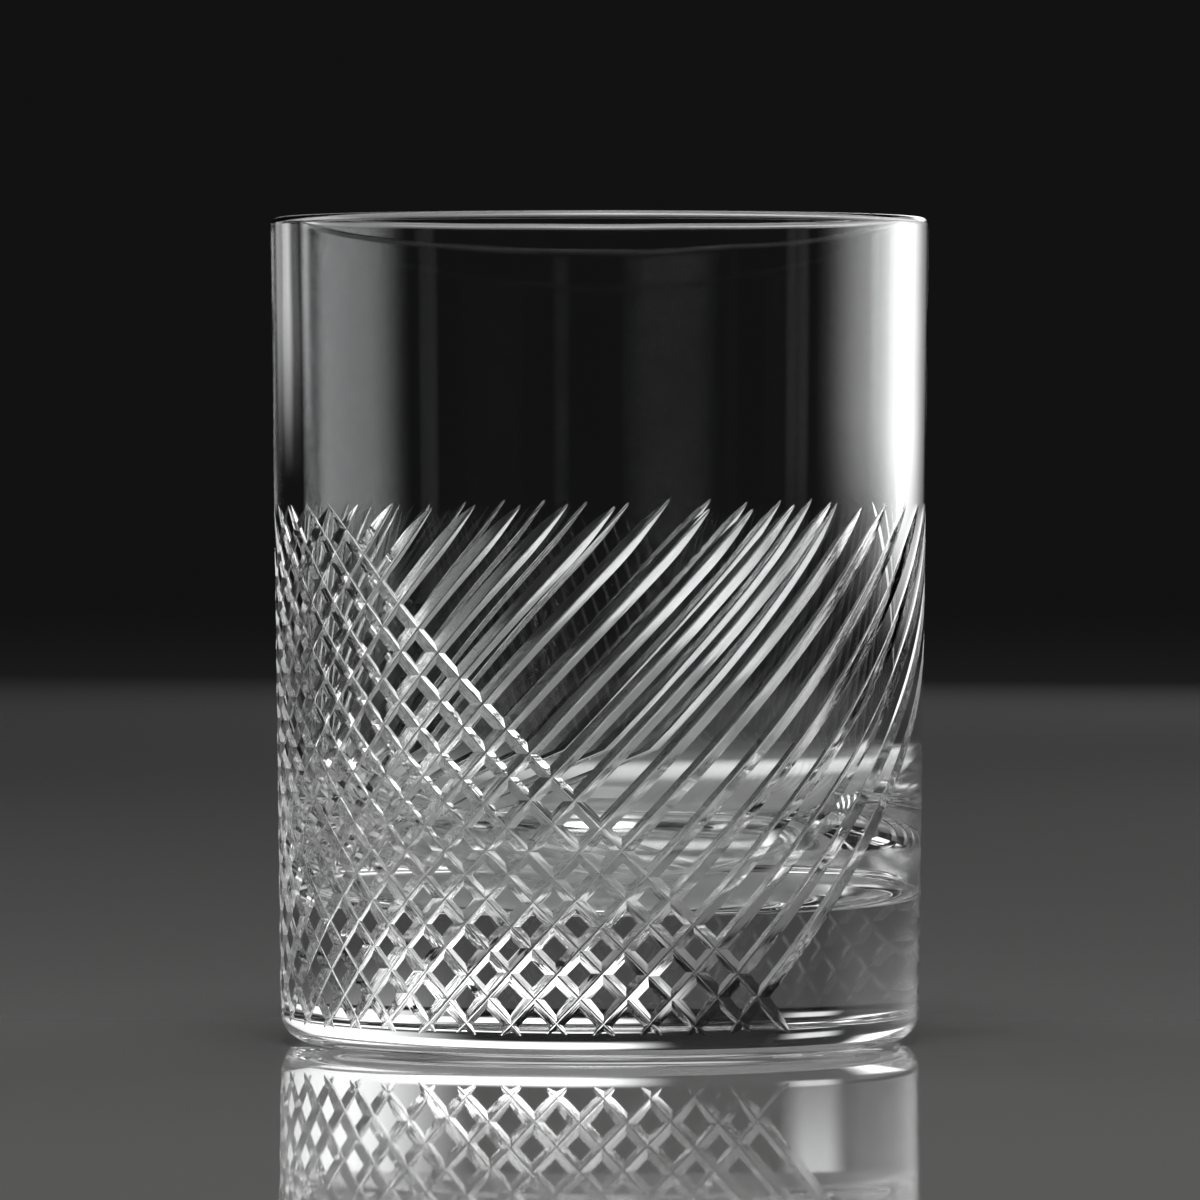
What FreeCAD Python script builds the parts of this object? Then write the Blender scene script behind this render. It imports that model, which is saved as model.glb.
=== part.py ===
import FreeCAD, Part
import math
import os
import Sketcher

# A double old-fashioned tumbler: one piece of thick clear crystal with a heavy solid base.
# Frame: millimetres, +Z up, origin at the centre of the foot, on the surface that the tumbler stands on.

doc = FreeCAD.newDocument("tumbler")

# ---------------------------------------------------------------- driving dimensions

DIMENSIONS = [
    ("overall_height", 100.0, "foot to rim"),
    ("rim_radius", 40.0, "outer radius at the rim"),
    ("base_radius", 38.8, "outer radius where the straight side would meet the foot plane"),
    ("side_wall", 3.55, "thickness of the side wall, level with the rim and down to the bowl"),
    ("floor_height", 16.6, "inside floor above the foot plane"),
    ("bowl_rise", 20.0, "height over which the inside curves from the floor to the wall"),
    ("bowl_radius", 26.0, "large arc of that curve, against the wall"),
    ("corner_radius", 8.0, "small arc of that curve, against the floor"),
    ("rim_round", 0.9, "fire-polished rounding of both rim edges"),
    ("heel_radius", 3.6, "rounding between the side and the foot"),
    ("ring_width", 5.0, "flat standing ring at the edge of the foot"),
    ("punt_depth", 0.8, "how far the underside is hollowed inside the standing ring"),
]

sheet = doc.addObject("Spreadsheet::Sheet", "dimensions")
for row, (alias, value, meaning) in enumerate(DIMENSIONS, start=1):
    sheet.set(f"A{row}", alias)
    sheet.set(f"B{row}", str(value))
    sheet.set(f"C{row}", meaning)
    sheet.setAlias(f"B{row}", alias)
doc.recompute()


def size(alias):
    return float(getattr(sheet, alias))


# ---------------------------------------------------------------- the half section

# The glass is the half section between the axis, the underside, the side, the rim and the inside,
# turned once round the axis. Its corners are first placed from the sheet, and the sketch's constraints
# then hold them there.


def inside_curve():
    """Places of the inside's two-arc curve: the ends of its arcs and the arcs' centres."""
    top = size("overall_height")
    floor = size("floor_height")
    big = size("bowl_radius")
    small = size("corner_radius")
    taper = math.atan2(size("rim_radius") - size("base_radius"), top)
    wall_z = floor + size("bowl_rise")
    wall_x = size("rim_radius") - size("side_wall") - (top - wall_z) * math.tan(taper)
    big_centre = FreeCAD.Vector(wall_x - big * math.cos(taper), wall_z + big * math.sin(taper), 0)
    drop = big_centre.y - (floor + small)
    small_centre = FreeCAD.Vector(big_centre.x + math.sqrt((big - small) ** 2 - drop ** 2), floor + small, 0)
    meet = big_centre + (small_centre - big_centre) * (big / (big - small))
    wall_end = FreeCAD.Vector(wall_x, wall_z, 0)
    floor_end = FreeCAD.Vector(small_centre.x, floor, 0)
    return wall_end, meet, floor_end, big_centre, small_centre


def arc_between(centre, start, end):
    """Arc about a centre, anticlockwise from start to end, as a sketch holds it."""
    radius = centre.distanceToPoint(start)
    circle = Part.Circle(centre, FreeCAD.Vector(0, 0, 1), radius)
    from_angle = math.atan2(start.y - centre.y, start.x - centre.x)
    to_angle = math.atan2(end.y - centre.y, end.x - centre.x)
    return Part.ArcOfCircle(circle, from_angle, to_angle)


def bind(sketch, kind, *places, value=None, formula=None, name=None):
    """One constraint of the sketch, tied to the sheet where a formula is given."""
    arguments = [kind, *places]
    if value is not None:
        arguments.append(value)
    index = sketch.addConstraint(Sketcher.Constraint(*arguments))
    if name:
        sketch.renameConstraint(index, name)
        sketch.setExpression(f"Constraints.{name}", formula)
    return index


def draw_half_section(sketch):
    START, END, CENTRE = 1, 2, 3
    ORIGIN, VERTICAL = (-1, 1), -2
    wall_end, meet, floor_end, big_centre, small_centre = inside_curve()
    point = FreeCAD.Vector
    ring_outer = size("base_radius") - size("heel_radius")
    ring_inner = ring_outer - size("ring_width")
    foot_middle = point(0, size("punt_depth"), 0)
    punt_edge = point(ring_inner, 0, 0)
    foot_corner = point(size("base_radius"), 0, 0)
    rim_outer = point(size("rim_radius"), size("overall_height"), 0)
    rim_inner = point(size("rim_radius") - size("side_wall"), size("overall_height"), 0)
    floor_middle = point(0, size("floor_height"), 0)

    # The hollow underside is an arc whose centre is on the axis, below the foot.
    punt_radius = (ring_inner ** 2 + size("punt_depth") ** 2) / (2 * size("punt_depth"))
    punt_centre = point(0, size("punt_depth") - punt_radius, 0)
    punt = sketch.addGeometry(arc_between(punt_centre, punt_edge, foot_middle))
    foot = sketch.addGeometry(Part.LineSegment(punt_edge, foot_corner))
    side = sketch.addGeometry(Part.LineSegment(foot_corner, rim_outer))
    rim = sketch.addGeometry(Part.LineSegment(rim_outer, rim_inner))
    wall = sketch.addGeometry(Part.LineSegment(rim_inner, wall_end))
    big_arc = sketch.addGeometry(arc_between(big_centre, meet, wall_end))
    small_arc = sketch.addGeometry(arc_between(small_centre, floor_end, meet))
    floor = sketch.addGeometry(Part.LineSegment(floor_end, floor_middle))
    axis = sketch.addGeometry(Part.LineSegment(floor_middle, foot_middle))

    for first, first_end, second, second_end in [
        (punt, START, foot, START),
        (foot, END, side, START),
        (side, END, rim, START),
        (rim, END, wall, START),
        (floor, END, axis, START),
        (axis, END, punt, END),
    ]:
        bind(sketch, "Coincident", first, first_end, second, second_end)
    for first, first_end, second, second_end in [
        (wall, END, big_arc, END),
        (big_arc, START, small_arc, END),
        (small_arc, START, floor, START),
    ]:
        bind(sketch, "Tangent", first, first_end, second, second_end)
    for level_line in (foot, rim, floor):
        bind(sketch, "Horizontal", level_line)
    bind(sketch, "Parallel", side, wall)
    for on_axis, end in ((punt, CENTRE), (floor, END), (punt, END)):
        bind(sketch, "PointOnObject", on_axis, end, VERTICAL)

    def across(geometry, end, name, formula, value):
        bind(sketch, "DistanceX", *ORIGIN, geometry, end, value=value, name=name, formula=formula)

    def up(geometry, end, name, formula, value):
        bind(sketch, "DistanceY", *ORIGIN, geometry, end, value=value, name=name, formula=formula)

    bind(sketch, "PointOnObject", foot, START, -1)
    across(foot, END, "foot_across", "dimensions.base_radius", foot_corner.x)
    across(foot, START, "punt_across",
           "dimensions.base_radius - dimensions.heel_radius - dimensions.ring_width", punt_edge.x)
    across(side, END, "rim_across", "dimensions.rim_radius", rim_outer.x)
    across(wall, START, "bore_across", "dimensions.rim_radius - dimensions.side_wall", rim_inner.x)
    up(side, END, "rim_up", "dimensions.overall_height", rim_outer.y)
    up(floor, END, "floor_up", "dimensions.floor_height", floor_middle.y)
    up(wall, END, "bowl_up", "dimensions.floor_height + dimensions.bowl_rise", wall_end.y)
    up(punt, END, "punt_up", "dimensions.punt_depth", foot_middle.y)
    bind(sketch, "Radius", big_arc, value=size("bowl_radius"), name="bowl", formula="dimensions.bowl_radius")
    bind(sketch, "Radius", small_arc, value=size("corner_radius"), name="corner",
         formula="dimensions.corner_radius")


# ---------------------------------------------------------------- the tumbler

def round_edges_at(body, base, name, radius_alias, height, radii):
    """Fillet on the full-circle edges of the base feature at one height and given radii."""
    tolerance = 0.01
    names = []
    for number, edge in enumerate(base.Shape.Edges, start=1):
        box = edge.BoundBox
        level = abs(box.ZMin - height) < tolerance and abs(box.ZMax - height) < tolerance
        if level and any(abs(box.XMax - radius) < tolerance for radius in radii):
            names.append(f"Edge{number}")
    if len(names) != len(radii):
        raise RuntimeError(f"{name}: found edges {names} for radii {radii}")
    fillet = body.newObject("PartDesign::Fillet", name)
    fillet.Base = (base, names)
    fillet.setExpression("Radius", f"dimensions.{radius_alias}")
    doc.recompute()
    return fillet


def make_tumbler():
    body = doc.addObject("PartDesign::Body", "tumbler")
    body.Label = "tumbler"
    section_plane = next(o for o in body.Origin.OriginFeatures if o.Role == "XZ_Plane")
    section = body.newObject("Sketcher::SketchObject", "half_section")
    section.AttachmentSupport = [(section_plane, "")]
    section.MapMode = "FlatFace"
    draw_half_section(section)
    doc.recompute()

    blank = body.newObject("PartDesign::Revolution", "turned_glass")
    blank.Profile = section
    blank.ReferenceAxis = (section, ["V_Axis"])
    blank.Angle = 360.0
    doc.recompute()

    heel = round_edges_at(body, blank, "heel", "heel_radius", 0.0, [size("base_radius")])
    rim_radii = [size("rim_radius"), size("rim_radius") - size("side_wall")]
    rim = round_edges_at(body, heel, "polished_rim", "rim_round", size("overall_height"), rim_radii)
    body.Tip = rim
    body.Placement = FreeCAD.Placement()
    doc.recompute()
    return body


SUB_PARTS = [make_tumbler()]

# ---------------------------------------------------------------- checks and export

for item in doc.Objects:
    if "Invalid" in item.State or "Error" in item.State:
        raise RuntimeError(f"{item.Name} did not build: {item.State}")
for sub_part in SUB_PARTS:
    if sub_part.Shape.isNull() or not sub_part.Shape.isValid():
        raise RuntimeError(f"{sub_part.Label} has no valid shape")
    if len(sub_part.Shape.Solids) != 1:
        raise RuntimeError(f"{sub_part.Label} is not one solid")

os.makedirs("parts", exist_ok=True)
for sub_part in SUB_PARTS:
    sub_part.Shape.exportStep(f"parts/{sub_part.Label}.step")
    box = sub_part.Shape.optimalBoundingBox()
    print(f"{sub_part.Label}: {box.XLength:.2f} x {box.YLength:.2f} x {box.ZLength:.2f} mm, "
          f"{sub_part.Shape.Volume / 1000:.1f} cm3")
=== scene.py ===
# %% [markdown]
# # A cut crystal whiskey tumbler
# The real object is one piece of clear crystal. It was formed as a plain tumbler with a thick solid base, a
# rounded inside and a fire-polished rim. Then its side was ground with a wheel: some cuts climb to the right
# and some to the left, and they cross in a lattice. The CAD model holds the plain tumbler. This lesson turns
# it again with finer faces, grinds the cuts into it, polishes them, and lights the glass. The frame comes
# first: it brings in the CAD model, in metres, with the tumbler standing on z = 0.

# %% Load the frame
import math
import random

import bpy
import numpy as np
from mathutils import Matrix, Vector


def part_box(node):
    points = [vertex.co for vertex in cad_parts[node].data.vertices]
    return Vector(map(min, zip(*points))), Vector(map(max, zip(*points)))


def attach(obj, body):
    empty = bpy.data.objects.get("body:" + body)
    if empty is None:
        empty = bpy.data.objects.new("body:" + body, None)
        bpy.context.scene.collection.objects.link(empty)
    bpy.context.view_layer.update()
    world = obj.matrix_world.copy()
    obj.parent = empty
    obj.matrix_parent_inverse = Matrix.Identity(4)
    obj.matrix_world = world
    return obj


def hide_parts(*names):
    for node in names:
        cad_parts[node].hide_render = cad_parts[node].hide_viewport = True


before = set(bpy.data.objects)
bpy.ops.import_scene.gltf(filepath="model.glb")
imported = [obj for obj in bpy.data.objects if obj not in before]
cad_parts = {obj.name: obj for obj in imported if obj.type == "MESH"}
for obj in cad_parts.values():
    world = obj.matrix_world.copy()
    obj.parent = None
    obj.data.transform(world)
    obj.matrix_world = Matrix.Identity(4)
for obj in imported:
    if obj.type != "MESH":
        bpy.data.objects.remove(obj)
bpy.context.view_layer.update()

MM = 0.001
foot_corner, rim_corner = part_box("tumbler")
HEIGHT = round(rim_corner[2] - foot_corner[2], 6)
print(f"CAD tumbler: {HEIGHT / MM:.1f} mm high, {(rim_corner[0] - foot_corner[0]) / MM:.1f} mm across")

# %% [markdown]
# ## The half section
# Anything turned is the same all the way round, so its whole shape is in one half section. The straight
# runs of this one are named sizes. The round ones are arcs worked out from their neighbours, so that each
# flows into the next without an edge: the heel between foot and side, both sides of the rim, and the two
# arcs that carry the wall down into the floor. Each run remembers which way its surface faces, because the
# polish will need it later: a turned surface of small flat faces glints like a faceted one unless every
# corner is told its true direction.

# %% Sizes of the blank
RIM_RADIUS = 40.0 * MM
BASE_RADIUS = 38.8 * MM
SIDE_WALL = 3.55 * MM
FLOOR_HEIGHT = 16.6 * MM
BOWL_RISE = 20.0 * MM
BOWL_RADIUS = 26.0 * MM
CORNER_RADIUS = 8.0 * MM
RIM_ROUND = 0.9 * MM
HEEL_RADIUS = 3.6 * MM
RING_WIDTH = 5.0 * MM
PUNT_DEPTH = 0.8 * MM
TAPER = math.atan2(RIM_RADIUS - BASE_RADIUS, HEIGHT)


def side_radius(height):
    """Outer radius of the straight side at a height."""
    return BASE_RADIUS + height * math.tan(TAPER)


def bore_radius(height):
    """Inner radius of the straight wall at a height."""
    return side_radius(height) - SIDE_WALL


# %% [markdown]
# A run of the section is an arc or a straight line. Both are drawn as short steps, and both keep what is
# needed to tell the surface's direction exactly: an arc its centre, a straight line its normal.

# %% Runs of the section
def round_run(centre, radius, first, last, steps, outward):
    """An arc between two angles in degrees. Outward is 1 on a bulge of the glass and -1 in a hollow."""
    angles = np.radians(np.linspace(first, last, steps + 1))
    points = [(centre[0] + radius * math.cos(a), centre[1] + radius * math.sin(a)) for a in angles]
    return {"points": points, "centre": centre, "outward": outward}


def straight_run(start, end, steps):
    """A straight line with the glass on its left, from a start to an end."""
    shares = np.linspace(0, 1, steps + 1)
    points = [(start[0] + (end[0] - start[0]) * s, start[1] + (end[1] - start[1]) * s) for s in shares]
    length = math.dist(start, end)
    return {"points": points, "normal": ((end[1] - start[1]) / length, (start[0] - end[0]) / length)}


# %% The foot, the heel and the rim
SLOPE = math.degrees(TAPER)
ring_inner = BASE_RADIUS - HEEL_RADIUS - RING_WIDTH
punt_radius = (ring_inner ** 2 + PUNT_DEPTH ** 2) / (2 * PUNT_DEPTH)
punt_half = math.degrees(math.asin(ring_inner / punt_radius))
rim_level = HEIGHT - RIM_ROUND
heel_centre = (side_radius(HEEL_RADIUS) - HEEL_RADIUS / math.cos(TAPER), HEEL_RADIUS)
rim_outer_centre = (side_radius(rim_level) - RIM_ROUND / math.cos(TAPER), rim_level)
rim_inner_centre = (bore_radius(rim_level) + RIM_ROUND / math.cos(TAPER), rim_level)

punt_centre = (0, PUNT_DEPTH - punt_radius)
punt = round_run(punt_centre, punt_radius, 90, 90 - punt_half, steps=8, outward=-1)
heel = round_run(heel_centre, HEEL_RADIUS, -90, -SLOPE, steps=12, outward=1)
rim_outside = round_run(rim_outer_centre, RIM_ROUND, -SLOPE, 90, steps=10, outward=1)
rim_inside = round_run(rim_inner_centre, RIM_ROUND, 90, 180 - SLOPE, steps=10, outward=1)
print(f"hollow underside: {PUNT_DEPTH / MM:.1f} mm deep, inside a ring {ring_inner / MM:.1f} mm in radius")

# %% The bowl
bowl_top = FLOOR_HEIGHT + BOWL_RISE
bowl_side = bore_radius(bowl_top) - BOWL_RADIUS * math.cos(TAPER)
bowl_centre = (bowl_side, bowl_top + BOWL_RADIUS * math.sin(TAPER))
bowl_drop = bowl_centre[1] - FLOOR_HEIGHT - CORNER_RADIUS
bowl_reach = math.sqrt((BOWL_RADIUS - CORNER_RADIUS) ** 2 - bowl_drop ** 2)
bowl_meet = -math.degrees(math.atan2(bowl_drop, bowl_reach))
corner_centre = (bowl_centre[0] + bowl_reach, FLOOR_HEIGHT + CORNER_RADIUS)

bowl = round_run(bowl_centre, BOWL_RADIUS, -SLOPE, bowl_meet, steps=20, outward=-1)
corner = round_run(corner_centre, CORNER_RADIUS, bowl_meet, -90, steps=16, outward=-1)
print(f"bowl: flat for {corner_centre[0] / MM:.1f} mm from the middle, full width {bowl_top / MM:.1f} mm up")

# %% The straight runs, and the whole line
RUNS = [
    punt,
    straight_run(punt["points"][-1], heel["points"][0], steps=2),
    heel,
    straight_run(heel["points"][-1], rim_outside["points"][0], steps=12),
    rim_outside,
    straight_run(rim_outside["points"][-1], rim_inside["points"][0], steps=2),
    rim_inside,
    straight_run(rim_inside["points"][-1], bowl["points"][0], steps=8),
    bowl,
    corner,
    straight_run(corner["points"][-1], (0, FLOOR_HEIGHT), steps=4),
]
SECTION = [RUNS[0]["points"][0]]
for run in RUNS:
    SECTION += run["points"][1:]
print(f"half section: {len(RUNS)} runs, {len(SECTION)} points")

# %% [markdown]
# ## The blank
# A turned shape could be stacked from cylinders and rings, or revolved with a Screw modifier. Here it is
# made as a turner would see it: one vertex is pulled along the section, point after point, and the line is
# spun once round the axis. Both ends of the line lie on the axis, where merging by distance closes them into
# poles. Blender has no primitive of one vertex, so the line starts as a small triangle merged at its centre.

# %% Draw the line
def deselect_all():
    """Object mode with nothing selected, because an operator acts on all that is selected."""
    if bpy.context.mode != "OBJECT":
        bpy.ops.object.mode_set(mode="OBJECT")
    bpy.ops.object.select_all(action="DESELECT")


def draw_line(name, points):
    """A new object that is one open line in the XZ plane."""
    deselect_all()
    bpy.ops.mesh.primitive_circle_add(vertices=3, radius=MM)
    line = bpy.context.object
    line.name = name
    bpy.ops.object.mode_set(mode="EDIT")
    bpy.ops.mesh.select_all(action="SELECT")
    bpy.ops.mesh.merge(type="CENTER")
    bpy.ops.transform.translate(value=(points[0][0], 0, points[0][1]))
    for here, there in zip(points, points[1:]):
        step = (there[0] - here[0], 0, there[1] - here[1])
        bpy.ops.mesh.extrude_vertices_move(TRANSFORM_OT_translate={"value": step})
    return line


# %% Spin it
CUTS_IN_A_TURN = 44
AROUND = 6 * CUTS_IN_A_TURN
MERGE_DISTANCE = MM / 100
glass = draw_line("tumbler_glass", SECTION)
bpy.ops.mesh.select_all(action="SELECT")
bpy.ops.mesh.spin(steps=AROUND, angle=math.tau, center=(0, 0, 0), axis=(0, 0, 1))
bpy.ops.mesh.select_all(action="SELECT")
bpy.ops.mesh.remove_doubles(threshold=MERGE_DISTANCE)
bpy.ops.mesh.normals_make_consistent(inside=False)
deselect_all()
print(f"blank: {len(glass.data.polygons)} faces")

# %% [markdown]
# ## The cutters
# The cuts are ground with a mitre wheel, a stone disc with a V-shaped edge. The glass is drawn past it and
# turned at the same time, so each cut climbs on a slant, and it ends above in a leaf point where the round
# wheel lifts out. Grooves like these could be drawn as bumps, but then the silhouette stays smooth and the
# light doesn't bend in them, so here they are real. A cutter is the wheel's path made solid: a V section
# that is extruded upwards in short steps, turned a little at each, and drawn outwards at both ends. The
# point of the V is slightly round, and shows as a thin bright line along the middle of each cut. How far
# the lattice goes on round the back is this model's own choice: 23 cuts each way, of 44 that would fit.

# %% Sizes of the cuts
CUT_BOTTOM = 2.9 * MM
CUT_TOP = 65.3 * MM
LIFT_ABOVE = 5.8 * MM
LIFT_BELOW = 3.4 * MM
HALF_ANGLE = math.radians(51.5)
POINT_ROUND = 0.13 * MM
OVERSHOOT = 0.4 * MM
PITCH = math.tau / CUTS_IN_A_TURN
CUTS = 23
FRONT = -math.pi / 2
RISE = CUT_TOP - CUT_BOTTOM
# climb is how far one cut goes round on its way up, and start is where the rightmost cut's foot is, counted
# from the front.
RIGHTWARD = {"climb": math.radians(86.0), "start": math.radians(23.2), "depth": 0.70 * MM}
LEFTWARD = {"climb": math.radians(-90.3), "start": math.radians(35.5), "depth": 0.64 * MM}
print(f"lattice: {CUTS} cuts each way, {math.degrees(PITCH):.2f} degrees apart")


# %% The bottom and the walls of a V
def lift(height, depth):
    """How far the wheel is out of its full depth, where the middle of the cut is at a height."""
    above = np.maximum(0, height - CUT_TOP + LIFT_ABOVE) / LIFT_ABOVE
    below = np.maximum(0, CUT_BOTTOM + LIFT_BELOW - height) / LIFT_BELOW
    return depth * (above ** 2 + below ** 2)


def bottom_radius(height, depth):
    """Radius of the bottom line of the V at a height."""
    return side_radius(height) - depth + lift(height, depth)


def wall_slope(climb):
    """How much the walls of the V open for each metre above or below its middle line."""
    slant = math.atan2(RISE, side_radius(CUT_BOTTOM + RISE / 2) * abs(climb))
    return math.cos(slant) / math.tan(HALF_ANGLE)


def rise_of_wall(away, slope):
    """How far the wall stands outside the bottom line, at a height above or below it."""
    return slope * (np.hypot(away, POINT_ROUND) - POINT_ROUND)


# %% The section of the wheel's edge
def wheel_edge(name, radius, height, tall, slope):
    """A flat V with a rounded point in the XZ plane, the point towards the axis at a radius and height."""
    half_width = math.sqrt((tall / slope + POINT_ROUND) ** 2 - POINT_ROUND ** 2)
    bend = 1.6 * POINT_ROUND
    offsets = [-half_width, -bend, 0, bend, half_width]
    outline = [(radius + float(rise_of_wall(away, slope)), height + away) for away in offsets]
    edge = draw_line(name, outline)
    bpy.ops.mesh.select_all(action="SELECT")
    bpy.ops.mesh.edge_face_add()
    return edge


# %% The path of one pass
CUT_STEPS = 52
PASS_MARGIN = 0.8 * MM


def cutter(name, climb, depth):
    """A closed V prism along one cut, which meets the XZ plane at the height CUT_BOTTOM.

    With no window, transform.rotate turns the other way, so its angles have the opposite sign.
    """
    step_up = (RISE + 2 * PASS_MARGIN) / CUT_STEPS
    step_round = climb * step_up / RISE
    height = CUT_BOTTOM - PASS_MARGIN
    radius = bottom_radius(height, depth)
    path = wheel_edge(name, radius, height, depth + OVERSHOOT, wall_slope(climb))
    bpy.ops.transform.rotate(value=climb * PASS_MARGIN / RISE, orient_axis="Z", center_override=(0, 0, 0))
    for _ in range(CUT_STEPS):
        bpy.ops.mesh.extrude_region_move(TRANSFORM_OT_translate={"value": (0, 0, step_up)})
        bpy.ops.transform.rotate(value=-step_round, orient_axis="Z", center_override=(0, 0, 0))
        height += step_up
        growth = bottom_radius(height, depth) / radius
        radius *= growth
        bpy.ops.transform.resize(value=(growth, growth, 1), center_override=(0, 0, 0))
    bpy.ops.mesh.select_all(action="SELECT")
    bpy.ops.mesh.normals_make_consistent(inside=False)
    deselect_all()
    return path


# %% [markdown]
# ## Twenty-three passes each way
# One cutter is copied round the glass for each family. A craftsman's passes aren't all alike, so each copy
# is a little out of place, round the glass and up it. The numbers come from a seeded source, and the same
# glass comes out each time. The places are kept, because the polish needs them.

# %% Copy the cutter round the glass
random.seed(11)
TURN_PLAY = math.radians(0.12)
HEIGHT_PLAY = 0.35 * MM


def family(name, climb, start, depth):
    """All cutters of a family as one object, with the azimuth and height of each."""
    first = cutter(name, climb, depth)
    places = []
    copies = []
    for number in range(CUTS):
        azimuth = start - number * PITCH + random.uniform(-TURN_PLAY, TURN_PLAY)
        raised = random.uniform(-HEIGHT_PLAY, HEIGHT_PLAY)
        copy = first.copy()
        copy.data = first.data.copy()
        copy.data.transform(Matrix.Translation((0, 0, raised)) @ Matrix.Rotation(FRONT + azimuth, 4, "Z"))
        bpy.context.collection.objects.link(copy)
        places.append((azimuth, raised))
        copies.append(copy)
    bpy.data.objects.remove(first)
    deselect_all()
    for copy in copies:
        copy.select_set(True)
    bpy.context.view_layer.objects.active = copies[0]
    bpy.ops.object.join()
    return bpy.context.object, places


# %% [markdown]
# ## Crystal, polished and cut
# A Glass shader would do for clear crystal. The Principled shader with full transmission looks the same, and
# it is the one that exported models use. Its index of refraction is a little over that of window glass. Two
# finishes share it.
# The polished skin was melted smooth, so it has only a ripple about two centimetres long that makes straight
# reflections waver a little, faint marks of handling, and a fine frosting on the ring it stands on. The
# wheel leaves fine lines along each cut that polishing doesn't quite remove, and they break its shine into
# streaks. They follow the cut, so that pattern reads a map laid along it.

# %% Clear crystal
CLEAR = (0.985, 0.992, 0.995, 1)
CRYSTAL_IOR = 1.54


def crystal(name):
    """A new clear crystal material, with its node tree and its shader."""
    material = bpy.data.materials.new(name)
    material.use_nodes = True
    shader = material.node_tree.nodes["Principled BSDF"]
    shader.inputs["Base Color"].default_value = CLEAR
    shader.inputs["Transmission Weight"].default_value = 1.0
    shader.inputs["IOR"].default_value = CRYSTAL_IOR
    return material, material.node_tree, shader


# %% Helpers for patterns
def noise(tree, vector, scale, detail):
    """A noise texture that reads a vector; returns its strength output."""
    node = tree.nodes.new("ShaderNodeTexNoise")
    node.inputs["Scale"].default_value = scale
    node.inputs["Detail"].default_value = detail
    tree.links.new(vector, node.inputs["Vector"])
    return node.outputs["Fac"]


def remap(tree, value, low_in, high_in, low_out, high_out):
    """A value mapped from one range to another, and held there."""
    node = tree.nodes.new("ShaderNodeMapRange")
    node.inputs["From Min"].default_value = low_in
    node.inputs["From Max"].default_value = high_in
    node.inputs["To Min"].default_value = low_out
    node.inputs["To Max"].default_value = high_out
    tree.links.new(value, node.inputs["Value"])
    return node.outputs["Result"]


def bump(tree, height, distance, shader):
    """Relief of a depth in metres on a shader."""
    node = tree.nodes.new("ShaderNodeBump")
    node.inputs["Strength"].default_value = 1.0
    node.inputs["Distance"].default_value = distance
    tree.links.new(height, node.inputs["Height"])
    tree.links.new(node.outputs["Normal"], shader.inputs["Normal"])


# %% The polished skin
# A noise scale is how many grains there are in a metre.
RIPPLE_SCALE = 48.0
RIPPLE_HEIGHT = 0.04 * MM
HANDLING_SCALE = 90.0
HANDLING_ROUGHNESS = 0.02
STANDING_ROUGHNESS = 0.14
STANDING_WEAR = (0.01 * MM, 0.04 * MM)


def polished_crystal():
    """The skin of the blank: rippled, faintly handled, and frosted where it stands."""
    material, tree, shader = crystal("polished_crystal")
    place = tree.nodes.new("ShaderNodeTexCoord").outputs["Object"]
    bump(tree, noise(tree, place, RIPPLE_SCALE, 1.0), RIPPLE_HEIGHT, shader)
    split = tree.nodes.new("ShaderNodeSeparateXYZ")
    tree.links.new(place, split.inputs["Vector"])
    standing = remap(tree, split.outputs["Z"], *STANDING_WEAR, STANDING_ROUGHNESS, 0.0)
    touched = noise(tree, place, HANDLING_SCALE, 4.0)
    handling = remap(tree, touched, 0.58, 0.80, 0.0, HANDLING_ROUGHNESS)
    total = tree.nodes.new("ShaderNodeMath")
    total.operation = "ADD"
    tree.links.new(standing, total.inputs[0])
    tree.links.new(handling, total.inputs[1])
    tree.links.new(total.outputs[0], shader.inputs["Roughness"])
    return material


# %% The wheel-cut faces
LINES_ALONG = 160.0
LINES_ACROSS = 2800.0
LINES_HEIGHT = 0.05 * MM
LINES_ROUGHNESS = 0.03


def wheel_cut_crystal():
    """The walls of the cuts, with the wheel's lines along them."""
    material, tree, shader = crystal("wheel_cut_crystal")
    marks = tree.nodes.new("ShaderNodeUVMap")
    marks.uv_map = "wheel"
    stretch = tree.nodes.new("ShaderNodeMapping")
    stretch.inputs["Scale"].default_value = (LINES_ALONG, LINES_ACROSS, 1.0)
    tree.links.new(marks.outputs["UV"], stretch.inputs["Vector"])
    lines = noise(tree, stretch.outputs["Vector"], 1.0, 3.0)
    bump(tree, lines, LINES_HEIGHT, shader)
    tree.links.new(remap(tree, lines, 0.45, 0.75, 0.0, LINES_ROUGHNESS), shader.inputs["Roughness"])
    return material


# %% Both finishes on the glass
finishes = [polished_crystal(), wheel_cut_crystal()]
CUT = 1                  # the place of the wheel-cut finish in that list
for finish in finishes:
    glass.data.materials.append(finish)
print("finishes: " + ", ".join(finish.name for finish in finishes))

# %% [markdown]
# ## Grinding
# Each family is taken away with a Boolean modifier. The Manifold solver is made for closed shapes like
# these and takes seconds. The new walls inherit the cutter's material, which is how the cut faces are found
# again afterwards.

# %% Take the cuts away
def grind(name, sizes):
    """Subtract one family from the glass and give back where its cuts are."""
    wheel, places = family(name, **sizes)
    for finish in finishes:
        wheel.data.materials.append(finish)
    wheel.data.polygons.foreach_set("material_index", [CUT] * len(wheel.data.polygons))
    pass_over = glass.modifiers.new(name, "BOOLEAN")
    pass_over.operation = "DIFFERENCE"
    pass_over.solver = "MANIFOLD"
    pass_over.object = wheel
    deselect_all()
    glass.select_set(True)
    bpy.context.view_layer.objects.active = glass
    bpy.ops.object.modifier_apply(modifier=name)
    bpy.data.objects.remove(wheel)
    print(f"{name}: {len(places)} cuts, glass now {len(glass.data.polygons)} faces")
    return places


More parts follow.
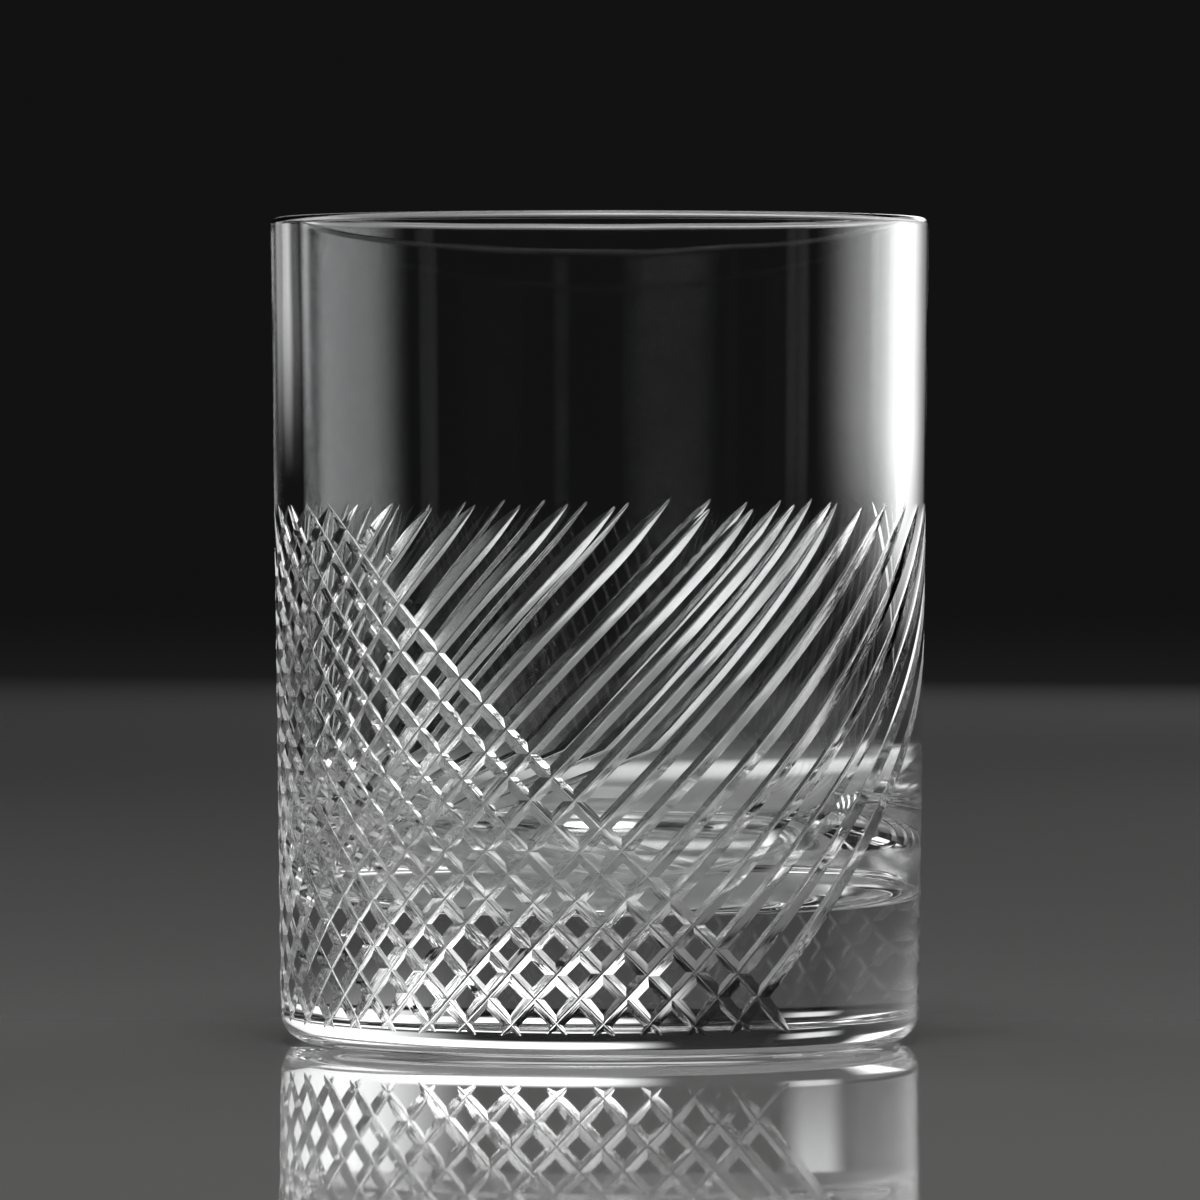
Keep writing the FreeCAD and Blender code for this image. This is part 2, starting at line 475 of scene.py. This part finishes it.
passes = []
for name, sizes in (("rightward_cuts", RIGHTWARD), ("leftward_cuts", LEFTWARD)):
    passes += [(sizes["climb"], sizes["depth"], azimuth, raised) for azimuth, raised in grind(name, sizes)]

# %% [markdown]
# ## Polishing
# The mesh is now closed and exact, but its faces are flat. Smooth shading would average across the edges
# of the cuts and across the joins of the section, and in clear glass even two degrees of error bend what is
# seen behind it. So every corner is given its true direction, worked out in arrays because there are
# over a hundred thousand. On a turned face it comes from its run of the half section. On a cut face it comes
# from the pass that ground it.

# %% Read the mesh as arrays
def read(items, name, width, kind=np.float64):
    """One value of every item of a mesh collection."""
    values = np.zeros(len(items) * width, dtype=kind)
    items.foreach_get(name, values)
    return values.reshape(-1, width) if width > 1 else values


mesh = glass.data
face_of = np.repeat(np.arange(len(mesh.polygons)), read(mesh.polygons, "loop_total", 1, np.int32))
corners = read(mesh.vertices, "co", 3)[read(mesh.loops, "vertex_index", 1, np.int32)]
centres = read(mesh.polygons, "center", 3)
flat = read(mesh.polygons, "normal", 3)[face_of]
cut_face = read(mesh.polygons, "material_index", 1, np.int32) == CUT
centre_radius = np.hypot(centres[:, 0], centres[:, 1])
centre_azimuth = np.arctan2(centres[:, 1], centres[:, 0])
print(f"corners: {len(corners)}, cut faces: {cut_face.sum()}")

# %% Outward and sideways at each corner
# A corner's azimuth is kept on the same turn as its face's, and a corner on the axis borrows it.
radius = np.hypot(corners[:, 0], corners[:, 1])
azimuth = np.arctan2(corners[:, 1], corners[:, 0])
azimuth += np.round((centre_azimuth[face_of] - azimuth) / math.tau) * math.tau
azimuth = np.where(radius < MERGE_DISTANCE, centre_azimuth[face_of], azimuth)
outward = np.stack([np.cos(azimuth), np.sin(azimuth), 0 * azimuth], 1)
sideways = np.stack([-np.sin(azimuth), np.cos(azimuth), 0 * azimuth], 1)
upward = np.array([[0.0, 0.0, 1.0]])


# %% Directions of the turned faces
def nearest_run(radii, heights):
    """For each point of the section plane, the number of the run that it lies on."""
    best = np.full(len(radii), np.inf)
    found = np.zeros(len(radii), dtype=int)
    for number, run in enumerate(RUNS):
        for (r0, z0), (r1, z1) in zip(run["points"], run["points"][1:]):
            dr, dz = r1 - r0, z1 - z0
            share = np.clip(((radii - r0) * dr + (heights - z0) * dz) / (dr * dr + dz * dz), 0, 1)
            miss = np.hypot(radii - r0 - share * dr, heights - z0 - share * dz)
            found = np.where(miss < best, number, found)
            best = np.minimum(best, miss)
    return found


run_of = nearest_run(centre_radius, centres[:, 2])[face_of]
out_part = np.zeros(len(corners))
up_part = np.zeros(len(corners))
for number, run in enumerate(RUNS):
    here = run_of == number
    if "centre" in run:
        dr = (radius[here] - run["centre"][0]) * run["outward"]
        dz = (corners[here, 2] - run["centre"][1]) * run["outward"]
        out_part[here] = dr / np.hypot(dr, dz)
        up_part[here] = dz / np.hypot(dr, dz)
    else:
        out_part[here], up_part[here] = run["normal"]
normals = outward * out_part[:, None] + upward * up_part[:, None]


# %% Which pass ground each cut face
PASS_END = 2 * MM        # a face further than this past the end of a pass isn't its work


def find_passes():
    """For each cut face the climb, depth, azimuth and height of its pass; other faces get a dummy."""
    turn = centre_azimuth[cut_face] - FRONT
    high = centres[cut_face, 2]
    table = [(c, d, a + math.tau * spin, r) for c, d, a, r in passes for spin in (-1, 0, 1)]
    best = np.full(len(turn), np.inf)
    chosen = np.zeros(len(turn), dtype=int)
    for number, (climb, depth, start, raised) in enumerate(table):
        middle = CUT_BOTTOM + (turn - start) * RISE / climb
        wall = bottom_radius(middle, depth) + rise_of_wall(high - raised - middle, wall_slope(climb))
        outside = abs(middle - CUT_BOTTOM - RISE / 2) > RISE / 2 + PASS_END
        miss = abs(wall - centre_radius[cut_face]) + outside
        chosen = np.where(miss < best, number, chosen)
        best = np.minimum(best, miss)
    print(f"cut faces lie within {best.max() / MM:.3f} mm of their pass")
    found = np.tile((1.0, 1.0, 0.0, 0.0), (len(cut_face), 1))
    found[cut_face] = np.array(table)[chosen]
    return found


climb, depth, start, raised = find_passes()[face_of].T

# %% Directions of the cut faces
# A wall of the V is r = bottom(azimuth) + rise_of_wall(height - middle), so its direction follows from the
# slopes of r round the glass and up it.
rate = RISE / climb
middle = CUT_BOTTOM + (azimuth - FRONT - start) * rate
away = corners[:, 2] - raised - middle
slope = np.where(climb > 0, wall_slope(RIGHTWARD["climb"]), wall_slope(LEFTWARD["climb"]))
slope = slope * away / np.hypot(away, POINT_ROUND)
step = MM / 1000
bottom_slope = (bottom_radius(middle + step, depth) - bottom_radius(middle - step, depth)) / (2 * step)
wall_normals = outward - sideways * ((bottom_slope - slope) * rate / radius.clip(MM))[:, None]
wall_normals -= upward * slope[:, None]
wall_normals /= np.linalg.norm(wall_normals, axis=1)[:, None]

# %% Give every corner its direction
# A cut corner whose direction is more than about 26 degrees off its flat face keeps that of the face.
AGREEMENT = 0.9
on_cut = cut_face[face_of]
fits = on_cut & ((wall_normals * flat).sum(1) > AGREEMENT)
normals[on_cut] = flat[on_cut]
normals[fits] = wall_normals[fits]
deselect_all()
glass.select_set(True)
bpy.context.view_layer.objects.active = glass
bpy.ops.object.shade_smooth()
mesh.normals_split_custom_set([tuple(normal) for normal in normals])
print(f"cut corners with the direction of their pass: {fits.sum()} of {on_cut.sum()}")

# %% [markdown]
# ## The map of the wheel's lines
# The wheel's lines need to know which way each cut runs. They could be drawn by hand on an unwrapped mesh,
# but every cut's path is known, so the map is worked out: its first coordinate is the distance along the
# cut and its second the distance across it, both in metres, so the pattern has the same size everywhere.

# %% A map along the cuts
slant = np.arctan2(abs(rate), radius.clip(MM))
along = middle / np.sin(slant) + start
across = away * np.cos(slant)
marks = np.where(on_cut[:, None], np.stack([along, across], 1), 0)
wheel_map = mesh.uv_layers.new(name="wheel")
wheel_map.data.foreach_set("uv", marks.ravel())
print(f"widest cut: {2 * abs(across[on_cut]).max() / MM:.2f} mm across")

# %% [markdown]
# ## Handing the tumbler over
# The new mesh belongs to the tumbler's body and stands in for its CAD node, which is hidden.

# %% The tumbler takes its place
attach(glass, "root")
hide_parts("tumbler")

# %% [markdown]
# ## The table
# Glass shows what is round it, so the setting matters as much as the shader. The floor is a plain pale
# board with a polish. Looked at from low down, a polished board mirrors like water, and the foot of the
# glass seems to stand on its own image. Seen from above it mirrors little and shows its own colour, which
# the low light here turns to grey. It lies a hair below the foot, because two faces in one place would show
# specks.

# %% A pale polished board
BOARD_SIZE = 8.0
BOARD_GAP = 0.02 * MM
PALE = (0.78, 0.78, 0.77, 1)

deselect_all()
bpy.ops.mesh.primitive_plane_add(size=BOARD_SIZE, location=(0, 0, -BOARD_GAP))
board = bpy.context.object
board.name = "floor"
board_finish = bpy.data.materials.new("pale_polished_board")
board_finish.use_nodes = True
board_shader = board_finish.node_tree.nodes["Principled BSDF"]
board_shader.inputs["Base Color"].default_value = PALE
board_shader.inputs["Roughness"].default_value = 0.02
board_shader.inputs["IOR"].default_value = 1.5
board.data.materials.append(board_finish)
print(f"floor: {BOARD_SIZE:.0f} m board, {BOARD_GAP / MM:.2f} mm below the foot")

# %% [markdown]
# ## The light
# Clear glass has no colour of its own to light. Its edges and cuts show by bending the view towards
# something bright, and its walls by mirroring it. So the soft boxes stand outside the picture, beside and
# behind the glass, where the walls at the left and right edge look, and the room between them stays dark.
# The largest is on the right. High ones light the floor and the bottom of the bowl. A plain area light is
# equally bright all over and ends sharply, and glass shows that as hard bars. The cloth of a real soft box
# is brightest over its lamp, so each light here fades towards its edges.

# %% A soft box
def fade(tree, share, edge):
    """One along the middle of a soft box and nothing at its rim, for a place from 0 to 1 across it."""
    centred = tree.nodes.new("ShaderNodeMath")
    centred.operation = "SUBTRACT"
    centred.inputs[1].default_value = 0.5
    tree.links.new(share, centred.inputs[0])
    off = tree.nodes.new("ShaderNodeMath")
    off.operation = "ABSOLUTE"
    tree.links.new(centred.outputs[0], off.inputs[0])
    result = tree.nodes.new("ShaderNodeMapRange")
    result.interpolation_type = "SMOOTHSTEP"
    result.inputs["From Min"].default_value = 0.5
    result.inputs["From Max"].default_value = 0.5 - edge
    tree.links.new(off.outputs[0], result.inputs["Value"])
    return result.outputs["Result"]


def soft_box(name, place, aim, size, edges, brightness):
    """A rectangular area light, as bright in the middle as brightness says, whatever its size.

    The edges are the shares of its width and height over which it fades.
    """
    light = bpy.data.lights.new(name, "AREA")
    light.shape = "RECTANGLE"
    light.size, light.size_y = size
    light.energy = brightness * math.pi * size[0] * size[1]
    light.use_nodes = True
    tree = light.node_tree
    across = tree.nodes.new("ShaderNodeSeparateXYZ")
    tree.links.new(tree.nodes.new("ShaderNodeNewGeometry").outputs["Parametric"], across.inputs["Vector"])
    both = tree.nodes.new("ShaderNodeMath")
    both.operation = "MULTIPLY"
    tree.links.new(fade(tree, across.outputs["X"], edges[0]), both.inputs[0])
    tree.links.new(fade(tree, across.outputs["Y"], edges[1]), both.inputs[1])
    tree.links.new(both.outputs[0], tree.nodes["Emission"].inputs["Strength"])
    lamp = bpy.data.objects.new(name, light)
    lamp.location = place
    lamp.rotation_euler = (Vector(aim) - Vector(place)).to_track_quat("-Z", "Y").to_euler()
    bpy.context.collection.objects.link(lamp)


def standing_box(name, azimuth, low_edge, high_edge, width, edges, brightness):
    """A soft box that stands upright and faces the glass, at an azimuth from the front to the right."""
    turn = math.radians(azimuth)
    level = (low_edge + high_edge) / 2
    place = (BOX_DISTANCE * math.sin(turn), -BOX_DISTANCE * math.cos(turn), level)
    soft_box(name, place, (0, 0, level), (width, high_edge - low_edge), edges, brightness)


# %% Boxes beside the glass
BOX_DISTANCE = 0.8
# name, azimuth, low edge, high edge, width, faded edges, brightness
standing_box("right_box", 125, 0.02, 0.52, 1.39, (0.35, 0.10), 1.6)
standing_box("right_front_box", 73.5, 0.02, 0.45, 0.10, (0.40, 0.10), 0.25)
standing_box("left_box", -115, 0.22, 0.57, 0.75, (0.30, 0.20), 2.4)
standing_box("left_back_strip", -150, 0.058, 0.20, 0.22, (0.40, 0.30), 0.85)

# %% Boxes behind and above it
# name, place, aim, size, faded edges, brightness
soft_box("back_box", (0.34, 1.46, 0.42), (0, 0, 0.05), (1.27, 0.40), (0.35, 0.40), 3.0)
soft_box("high_back_box", (0, 1.46, 1.43), (0, 0, 0.05), (1.8, 0.6), (0.30, 0.30), 0.9)
soft_box("top_box", (0, 0, 0.6), (0, 0, 0), (0.34, 0.34), (0.30, 0.30), 1.3)
soft_box("front_top_box", (0, -0.25, 0.6), (0, -0.25, 0), (0.34, 0.34), (0.30, 0.30), 3.6)

# %% The dark room
DARK = (0.006, 0.006, 0.006, 1)
world = bpy.data.worlds.new("dark_room")
world.use_nodes = True
world.node_tree.nodes["Background"].inputs["Color"].default_value = DARK
bpy.context.scene.world = world

# %% [markdown]
# ## The camera
# The glass is seen from over a metre away with a long lens, so its sides stay almost parallel. The eye is at
# three quarters of its height, so the rim and the foot are both thin ellipses, and the camera looks down by
# one degree.

# %% Camera
EYE_DISTANCE = 1.148
EYE_HEIGHT = 74.7 * MM
TILT_DOWN = math.radians(1.056)
SENSOR_WIDTH = 36        # sensor and lens in millimetres, as Blender takes them
LENS = 283.3
camera_data = bpy.data.cameras.new("camera")
camera_data.sensor_width = SENSOR_WIDTH
camera_data.lens = LENS
camera = bpy.data.objects.new("camera", camera_data)
camera.location = (0, -EYE_DISTANCE, EYE_HEIGHT)
camera.rotation_euler = (math.pi / 2 - TILT_DOWN, 0, 0)
bpy.context.collection.objects.link(camera)
bpy.context.scene.camera = camera
print(f"camera: {EYE_DISTANCE:.3f} m from the axis, {EYE_HEIGHT / MM:.1f} mm up")

# %% [markdown]
# ## Long paths of light
# Light that reaches the eye through a thick base has crossed the glass many times, so the paths are allowed
# to be long. The plain Standard view keeps the darks dark and the glints white.

# %% Paths and view
cycles = bpy.context.scene.cycles
cycles.max_bounces = 32
cycles.transmission_bounces = 32
cycles.glossy_bounces = 12
cycles.blur_glossy = 0.1
cycles.sample_clamp_indirect = 6.0
bpy.context.scene.view_settings.view_transform = "Standard"
